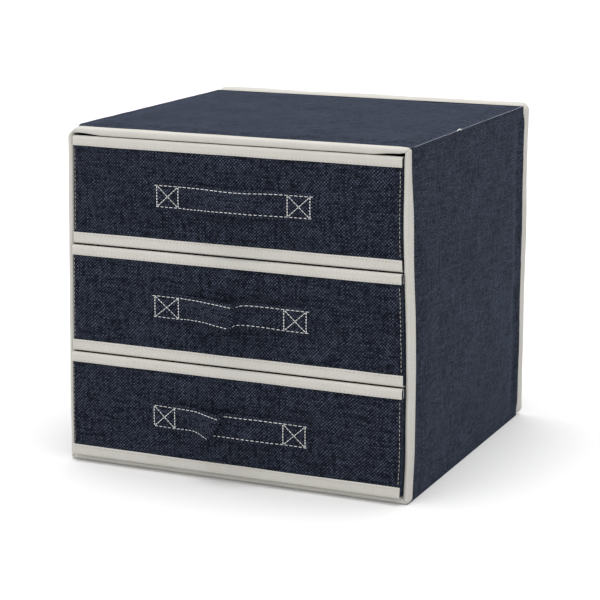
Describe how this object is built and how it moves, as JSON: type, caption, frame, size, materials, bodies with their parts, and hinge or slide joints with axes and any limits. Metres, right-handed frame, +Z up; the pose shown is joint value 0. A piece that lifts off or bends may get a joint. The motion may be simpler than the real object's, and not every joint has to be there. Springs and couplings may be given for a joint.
{
  "type": "fabric drawer chest",
  "caption": "Cube-shaped cloth-covered cardboard chest with pull-out fabric drawers, strap handles and light binding along its edges.",
  "frame": {"origin": "centre of the case's underside, on the floor", "axes": "+Z up, drawer fronts face -Y, +X to the right seen from the front"},
  "size_m": [0.3058, 0.3073, 0.2872],
  "materials": {
    "navy_cloth": "coarse plain-woven polyester cloth, dark navy melange",
    "cream_tape": "smooth folded binding tape, slight sheen",
    "lining_cloth": "matte embossed non-woven lining",
    "cardboard": "plain brown greyboard",
    "thread": "off-white sewing thread"
  },
  "bodies": {
    "case": {"cover_left": "navy_cloth", "cover_right": "navy_cloth", "cover_top": "navy_cloth", "cover_bottom": "navy_cloth", "cover_back": "navy_cloth", "board_left": "cardboard", "board_right": "cardboard", "board_bottom": "cardboard", "board_top": "cardboard", "board_back": "cardboard", "case_lining": "lining_cloth", "front_binding": "cream_tape", "back_binding": "cream_tape", "lower_shelf_sleeve": "lining_cloth", "lower_shelf_board": "cardboard", "upper_shelf_sleeve": "lining_cloth", "upper_shelf_board": "cardboard"},
    "bottom_drawer": {"bottom_drawer_front_cover": "navy_cloth", "bottom_drawer_body_cover": "navy_cloth", "bottom_drawer_front_board": "cardboard", "bottom_drawer_left_board": "cardboard", "bottom_drawer_right_board": "cardboard", "bottom_drawer_back_board": "cardboard", "bottom_drawer_base_board": "cardboard", "bottom_drawer_lining": "lining_cloth", "bottom_drawer_rim_tape": "cream_tape", "bottom_drawer_sill_tape": "cream_tape", "bottom_drawer_handle": "navy_cloth", "bottom_drawer_stitch_left": "thread", "bottom_drawer_stitch_right": "thread"},
    "middle_drawer": {"middle_drawer_front_cover": "navy_cloth", "middle_drawer_body_cover": "navy_cloth", "middle_drawer_front_board": "cardboard", "middle_drawer_left_board": "cardboard", "middle_drawer_right_board": "cardboard", "middle_drawer_back_board": "cardboard", "middle_drawer_base_board": "cardboard", "middle_drawer_lining": "lining_cloth", "middle_drawer_rim_tape": "cream_tape", "middle_drawer_sill_tape": "cream_tape", "middle_drawer_handle": "navy_cloth", "middle_drawer_stitch_left": "thread", "middle_drawer_stitch_right": "thread"},
    "top_drawer": {"top_drawer_front_cover": "navy_cloth", "top_drawer_body_cover": "navy_cloth", "top_drawer_front_board": "cardboard", "top_drawer_left_board": "cardboard", "top_drawer_right_board": "cardboard", "top_drawer_back_board": "cardboard", "top_drawer_base_board": "cardboard", "top_drawer_lining": "lining_cloth", "top_drawer_rim_tape": "cream_tape", "top_drawer_sill_tape": "cream_tape", "top_drawer_handle": "navy_cloth", "top_drawer_stitch_left": "thread", "top_drawer_stitch_right": "thread"}
  },
  "joints": [
    {"name": "bottom_drawer_slide", "type": "slide", "parent": "case", "child": "bottom_drawer", "axis": [0, -1, 0], "range_m": [-0.005, 0.262]},
    {"name": "middle_drawer_slide", "type": "slide", "parent": "case", "child": "middle_drawer", "axis": [0, -1, 0], "range_m": [-0.003, 0.262]},
    {"name": "top_drawer_slide", "type": "slide", "parent": "case", "child": "top_drawer", "axis": [0, -1, 0], "range_m": [-0.0005, 0.262]}
  ]
}
